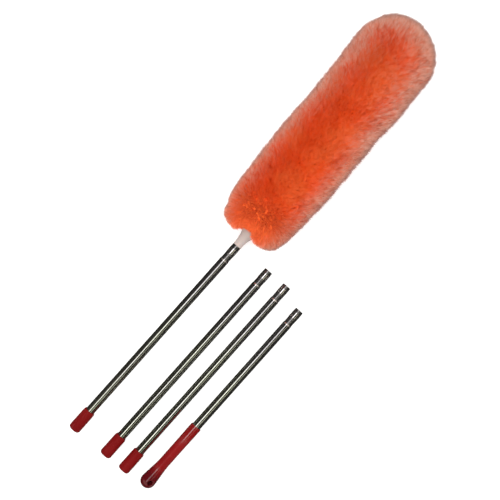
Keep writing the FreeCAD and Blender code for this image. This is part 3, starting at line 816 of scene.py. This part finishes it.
def make_tuft(name, seed):
    """A small tuft of fibres, some long and bent and some short. Each point's share is how far up it is."""
    draw = random.Random(seed)
    bm = bmesh.new()
    bm.verts.layers.float.new("hair")
    for index in range(9):
        bent = index < 3
        angle = draw.uniform(0, 2 * math.pi)
        reach = draw.uniform(0.0, 1.5) * MM
        root = (math.cos(angle) * reach, math.sin(angle) * reach)
        length = (draw.uniform(21, 24) if bent else draw.uniform(17, 23)) * MM
        lean = (draw.uniform(-1.0, 5.0) * MM - root[0] * 0.5, draw.uniform(-2.6, 2.6) * MM - root[1] * 0.5)
        add_hair(bm, root, lean, length, draw.uniform(0.40, 0.58) * MM, bent, draw.random())
    bmesh.ops.recalc_face_normals(bm, faces=bm.faces)
    mesh = bpy.data.meshes.new(name)
    bm.to_mesh(mesh)
    bm.free()
    share = mesh.attributes.new("share", "FLOAT", "POINT")
    share.data.foreach_set("value", [min(1.0, max(0.0, vert.co.z / (22 * MM))) for vert in mesh.vertices])
    return bpy.data.objects.new(name, mesh)


def make_planting_group(tufts):
    """Plants tufts on a band of the undercoat, combed as its lean says and with soft swirls."""
    group = bpy.data.node_groups.new("planting", "GeometryNodeTree")
    group.interface.new_socket("Geometry", in_out="INPUT", socket_type="NodeSocketGeometry")
    group.interface.new_socket("Density", in_out="INPUT", socket_type="NodeSocketFloat")
    group.interface.new_socket("Seed", in_out="INPUT", socket_type="NodeSocketInt")
    group.interface.new_socket("Geometry", in_out="OUTPUT", socket_type="NodeSocketGeometry")
    nodes, links = group.nodes, group.links
    entry = nodes.new("NodeGroupInput")
    leave = nodes.new("NodeGroupOutput")
    spread = nodes.new("GeometryNodeDistributePointsOnFaces")
    links.new(entry.outputs["Geometry"], spread.inputs["Mesh"])
    links.new(entry.outputs["Density"], spread.inputs["Density"])
    links.new(entry.outputs["Seed"], spread.inputs["Seed"])
    upright = nodes.new("FunctionNodeAlignRotationToVector")
    upright.axis = "Z"
    links.new(spread.outputs["Normal"], upright.inputs["Vector"])
    combed = nodes.new("FunctionNodeAlignRotationToVector")
    combed.axis = "X"
    combed.pivot_axis = "Z"
    combed.inputs["Vector"].default_value = PILE_PLACE.to_3x3() @ Vector((1, 0, 0))
    links.new(upright.outputs["Rotation"], combed.inputs["Rotation"])
    position = nodes.new("GeometryNodeInputPosition")
    swirl = nodes.new("ShaderNodeTexNoise")
    swirl.inputs["Scale"].default_value = 26.0
    swirl.inputs["Detail"].default_value = 2.0
    links.new(position.outputs["Position"], swirl.inputs["Vector"])
    centred = nodes.new("ShaderNodeVectorMath")
    centred.operation = "SUBTRACT"
    centred.inputs[1].default_value = (0.5, 0.5, 0.5)
    links.new(swirl.outputs["Color"], centred.inputs[0])
    swung = nodes.new("ShaderNodeVectorMath")
    swung.operation = "MULTIPLY"
    swung.inputs[1].default_value = SWIRL
    links.new(centred.outputs["Vector"], swung.inputs[0])
    stray = nodes.new("FunctionNodeRandomValue")
    stray.data_type = "FLOAT_VECTOR"
    stray.inputs["Min"].default_value = [-reach for reach in STRAY]
    stray.inputs["Max"].default_value = STRAY
    both = nodes.new("ShaderNodeVectorMath")
    both.operation = "ADD"
    links.new(swung.outputs["Vector"], both.inputs[0])
    links.new(stray.outputs["Value"], both.inputs[1])
    lean = nodes.new("GeometryNodeInputNamedAttribute")
    lean.data_type = "FLOAT"
    lean.inputs["Name"].default_value = "lean"
    leaning = nodes.new("ShaderNodeCombineXYZ")
    links.new(lean.outputs["Attribute"], leaning.inputs["Y"])
    total = nodes.new("ShaderNodeVectorMath")
    total.operation = "ADD"
    links.new(both.outputs["Vector"], total.inputs[0])
    links.new(leaning.outputs["Vector"], total.inputs[1])
    euler = nodes.new("FunctionNodeEulerToRotation")
    links.new(total.outputs["Vector"], euler.inputs["Euler"])
    turned = nodes.new("FunctionNodeRotateRotation")
    turned.rotation_space = "LOCAL"
    links.new(combed.outputs["Rotation"], turned.inputs["Rotation"])
    links.new(euler.outputs["Rotation"], turned.inputs["Rotate By"])
    choice = nodes.new("FunctionNodeRandomValue")
    choice.data_type = "INT"
    choice.inputs[4].default_value = 0
    choice.inputs[5].default_value = len(tufts.objects) - 1
    stock = nodes.new("GeometryNodeCollectionInfo")
    stock.inputs["Collection"].default_value = tufts
    stock.inputs["Separate Children"].default_value = True
    stock.inputs["Reset Children"].default_value = True
    growth = nodes.new("FunctionNodeRandomValue")
    growth.data_type = "FLOAT"
    growth.inputs[2].default_value, growth.inputs[3].default_value = GROWTH
    fullness_here = nodes.new("GeometryNodeInputNamedAttribute")
    fullness_here.data_type = "FLOAT"
    fullness_here.inputs["Name"].default_value = "fullness"
    size = nodes.new("ShaderNodeMath")
    size.operation = "MULTIPLY"
    links.new(growth.outputs[1], size.inputs[0])
    links.new(fullness_here.outputs["Attribute"], size.inputs[1])
    plant = nodes.new("GeometryNodeInstanceOnPoints")
    links.new(spread.outputs["Points"], plant.inputs["Points"])
    links.new(stock.outputs["Instances"], plant.inputs["Instance"])
    plant.inputs["Pick Instance"].default_value = True
    links.new(choice.outputs[2], plant.inputs["Instance Index"])
    links.new(turned.outputs["Rotation"], plant.inputs["Rotation"])
    links.new(size.outputs["Value"], plant.inputs["Scale"])
    tone = nodes.new("FunctionNodeRandomValue")
    tone.data_type = "FLOAT"
    keep = nodes.new("GeometryNodeStoreNamedAttribute")
    keep.data_type = "FLOAT"
    keep.domain = "INSTANCE"
    keep.inputs["Name"].default_value = "tone"
    links.new(plant.outputs["Instances"], keep.inputs["Geometry"])
    links.new(tone.outputs[1], keep.inputs["Value"])
    real = nodes.new("GeometryNodeRealizeInstances")
    links.new(keep.outputs["Geometry"], real.inputs["Geometry"])
    links.new(real.outputs["Geometry"], leave.inputs["Geometry"])
    return group


def band_of(scalp, low, high):
    """The stretch of the undercoat between two distances along the head, with how far its tufts lean."""
    back = PILE_PLACE.inverted()
    bm = bmesh.new()
    bm.from_mesh(scalp)
    outside = [face for face in bm.faces
               if not low <= (back @ face.calc_center_median()).x < high
               or (len(face.verts) > 4 and (back @ face.calc_center_median()).x < 0.2)]
    bmesh.ops.delete(bm, geom=outside, context="FACES")
    lean = bm.verts.layers.float.new("lean")
    full = bm.verts.layers.float.new("fullness")
    for vert in bm.verts:
        local = back @ vert.co
        vert[full] = fullness(local.x)
        on_dome = blend_between(0.46, 0.54, local.x)
        upwards = COMBED_UP * blend_between(74 * MM, 125 * MM, local.x) * (1 - 0.75 * on_dome)
        vert[lean] = upwards - COMBED_DOWN * (1 - blend_between(56 * MM, 88 * MM, local.x))
    mesh = bpy.data.meshes.new("band")
    bm.to_mesh(mesh)
    bm.free()
    return mesh


def grow_band(index, scalp, planting, low, high, material):
    """One wrap of the pile: its tufts planted, pressed on the floor and marked for their colours."""
    band = bpy.data.objects.new("band", band_of(scalp, low, high))
    bpy.context.scene.collection.objects.link(band)
    area = sum(face.area for face in band.data.polygons)
    modifier = band.modifiers.new("planting", "NODES")
    modifier.node_group = planting
    modifier["Socket_1"] = TUFTS_PER_BAND / area
    modifier["Socket_2"] = 40 + index
    graph = bpy.context.evaluated_depsgraph_get()
    mesh = bpy.data.meshes.new_from_object(band.evaluated_get(graph))
    bpy.data.objects.remove(band)
    co = np.empty(len(mesh.vertices) * 3, np.float32)
    mesh.vertices.foreach_get("co", co)
    co = co.reshape(-1, 3)
    pressed = co[:, 2] < PRESS_HEIGHT
    co[pressed, 2] = 0.6 * MM + 4.4 * MM * np.exp((co[pressed, 2] - PRESS_HEIGHT) / (12 * MM))
    mesh.vertices.foreach_set("co", co.ravel())
    mesh.update()
    back = np.array(PILE_PLACE.inverted())
    local = co @ back[:3, :3].T + back[:3, 3]
    # flank: more towards the dome and towards one side; it adds to the painted sheen along the pile's edge
    toward_dome = np.clip((local[:, 0] - 0.22) / 0.33, 0, 1)
    flank = 0.14 - 0.06 * local[:, 1] / FULL_RADIUS + 0.40 * toward_dome
    mesh.attributes.new("flank", "FLOAT", "POINT").data.foreach_set("value", flank)
    # foot: where painted light lifts the shade between the fibres at the pile's foot
    foot = np.clip((FOOT_PAINTED_LIGHT_END - local[:, 0]) / FOOT_PAINTED_LIGHT_FADE, 0, 1)
    mesh.attributes.new("foot", "FLOAT", "POINT").data.foreach_set("value", foot)
    # skin: the outward direction of the pile's overall shape, from which the painted sheen along its edge
    # is worked out
    skin = local.copy()
    skin[:, 0] -= np.clip(local[:, 0], PILE_FOOT + FULL_RADIUS * 0.38, PILE_END - FULL_RADIUS)
    skin /= np.maximum(np.linalg.norm(skin, axis=1), 1e-4)[:, None]
    skin = skin @ np.array(PILE_PLACE.to_3x3()).T
    mesh.attributes.new("skin", "FLOAT_VECTOR", "POINT").data.foreach_set("vector", skin.ravel())
    piece = bpy.data.objects.new(f"pile_wrap_{index + 1}", mesh)
    bpy.context.scene.collection.objects.link(piece)
    mesh.materials.clear()
    mesh.materials.append(material)
    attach(piece, "head")
    return piece


def make_fibre():
    """Dyed fibre: deep orange where one looks down into the pile, a pale salmon painted sheen along its
    edge with painted highlights and painted shade on some strands there, dark painted shade on tips seen
    edge-on, and painted light at the foot.
    """
    fibre = Finish("dyed_fibre")
    tree = fibre.tree
    share = fibre.attribute("share")
    tone = fibre.attribute("tone")
    hair = fibre.attribute("hair")
    flank = fibre.attribute("flank")
    skin = tree.nodes.new("ShaderNodeAttribute")
    skin.attribute_name = "skin"
    turned = tree.nodes.new("ShaderNodeVectorTransform")
    turned.vector_type = "NORMAL"
    turned.convert_from = "OBJECT"
    turned.convert_to = "WORLD"
    tree.links.new(skin.outputs["Vector"], turned.inputs["Vector"])
    edge = tree.nodes.new("ShaderNodeLayerWeight")
    edge.inputs["Blend"].default_value = 0.5
    tree.links.new(turned.outputs["Vector"], edge.inputs["Normal"])
    patch = add_range(tree, add_noise(tree, fibre.place, 17.0, 3.0), 0.38, 0.64)
    core = add_mix(tree, patch, (0.98, 0.098, 0.012), (0.98, 0.138, 0.026))
    # painted light: the core paler at the foot, lifting the shade between the fibres there
    core = add_mix(tree, fibre.attribute("foot"), core, (1.0, 0.185, 0.050))
    # painted sheen: pale salmon where the pile's overall surface is seen edge-on, and more towards the dome
    # and one side
    facing = edge.outputs["Facing"]
    rim = add_math(tree, "ADD", facing, add_math(tree, "MULTIPLY", flank, 0.55))
    rim = add_range(tree, rim, 0.10, 0.95)
    strand = add_math(tree, "ADD", add_range(tree, tone, 0, 1, -0.30, 0.30),
                      add_range(tree, hair, 0, 1, -0.16, 0.16))
    strand = add_math(tree, "MULTIPLY", strand, add_range(tree, rim, 0.0, 0.7, 0.22, 1.0))
    calm = add_range(tree, fibre.attribute("foot"), 0.0, 1.0, 1.0, 0.25)
    strand = add_math(tree, "MULTIPLY", strand, calm)
    # the painted sheen, with the strands' own random tone, stronger towards the tips
    pale = add_math(tree, "ADD", add_math(tree, "MULTIPLY", rim, 0.86), strand)
    pale = add_math(tree, "MULTIPLY", pale, add_range(tree, share, 0.2, 0.8, 0.5, 1.0))
    color = add_mix(tree, pale, core, (0.70, 0.36, 0.26))
    # painted highlights on some strands along the edge
    painted_highlight_strand = add_math(tree, "MULTIPLY", add_range(tree, tone, 0.70, 0.92, 0.0, 0.65), rim)
    color = add_mix(tree, painted_highlight_strand, color, (0.86, 0.52, 0.41))
    # painted shade on some strands along the edge
    painted_shade_strand = add_math(tree, "MULTIPLY", add_range(tree, tone, 0.05, 0.30, 0.60, 0.0), rim)
    color = add_mix(tree, painted_shade_strand, color, (0.36, 0.13, 0.08))
    # painted shade: dark grey-brown tips where the fibres are seen edge-on along the outline
    darkening = add_math(tree, "MULTIPLY", add_range(tree, share, 0.60, 0.95, 0.0, 0.9),
                      add_range(tree, facing, 0.50, 0.92))
    color = add_mix(tree, darkening, color, (0.26, 0.16, 0.15))
    fibre.set(Base_Color=color, Roughness=0.7, Specular_IOR_Level=0.10)
    return fibre.material


def make_undercoat():
    """The felted base of the fibres, in the deepest tone of the dye, lightened at the foot with painted
    light that lifts the shade between the fibres.
    """
    felt = Finish("undercoat_felt", PILE_PLACE)
    tree = felt.tree
    lumps = add_noise(tree, felt.place, 320.0, 5.0, 0.7)
    color = add_mix(tree, add_range(tree, lumps, 0.3, 0.7), (0.80, 0.055, 0.008), (0.94, 0.095, 0.016))
    distance = felt.group(POLE_COORDINATES)["Distance"]
    # painted light: paler at the foot, lifting the shade between the fibres there
    foot = add_range(tree, distance, FOOT_PAINTED_LIGHT_END, FOOT_PAINTED_LIGHT_END - FOOT_PAINTED_LIGHT_FADE)
    color = add_mix(tree, foot, color, (1.0, 0.20, 0.045))
    felt.set(Base_Color=color, Roughness=0.85, Specular_IOR_Level=0.10)
    felt.bump(lumps, 0.8, 0.002)
    return felt.material


def build_pile():
    """Undercoat and fibre wraps, standing for the head's pile."""
    scalp = make_scalp()
    undercoat = bpy.data.objects.new("pile_undercoat", scalp)
    bpy.context.scene.collection.objects.link(undercoat)
    scalp.materials.append(make_undercoat())
    for face in scalp.polygons:
        face.use_smooth = True
    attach(undercoat, "head")
    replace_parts(undercoat, "pile_cover")
    tufts = bpy.data.collections.new("tufts")
    for seed in range(TUFT_SHAPES):
        tufts.objects.link(make_tuft(f"tuft_{seed}", seed))
    planting = make_planting_group(tufts)
    fibre = make_fibre()
    for index, (low, high) in enumerate(zip(BAND_EDGES, BAND_EDGES[1:])):
        grow_band(index, scalp, planting, low, high, fibre)
    for tuft in list(tufts.objects):
        bpy.data.objects.remove(tuft)
    bpy.data.collections.remove(tufts)
    bpy.data.node_groups.remove(planting)


build_pile()
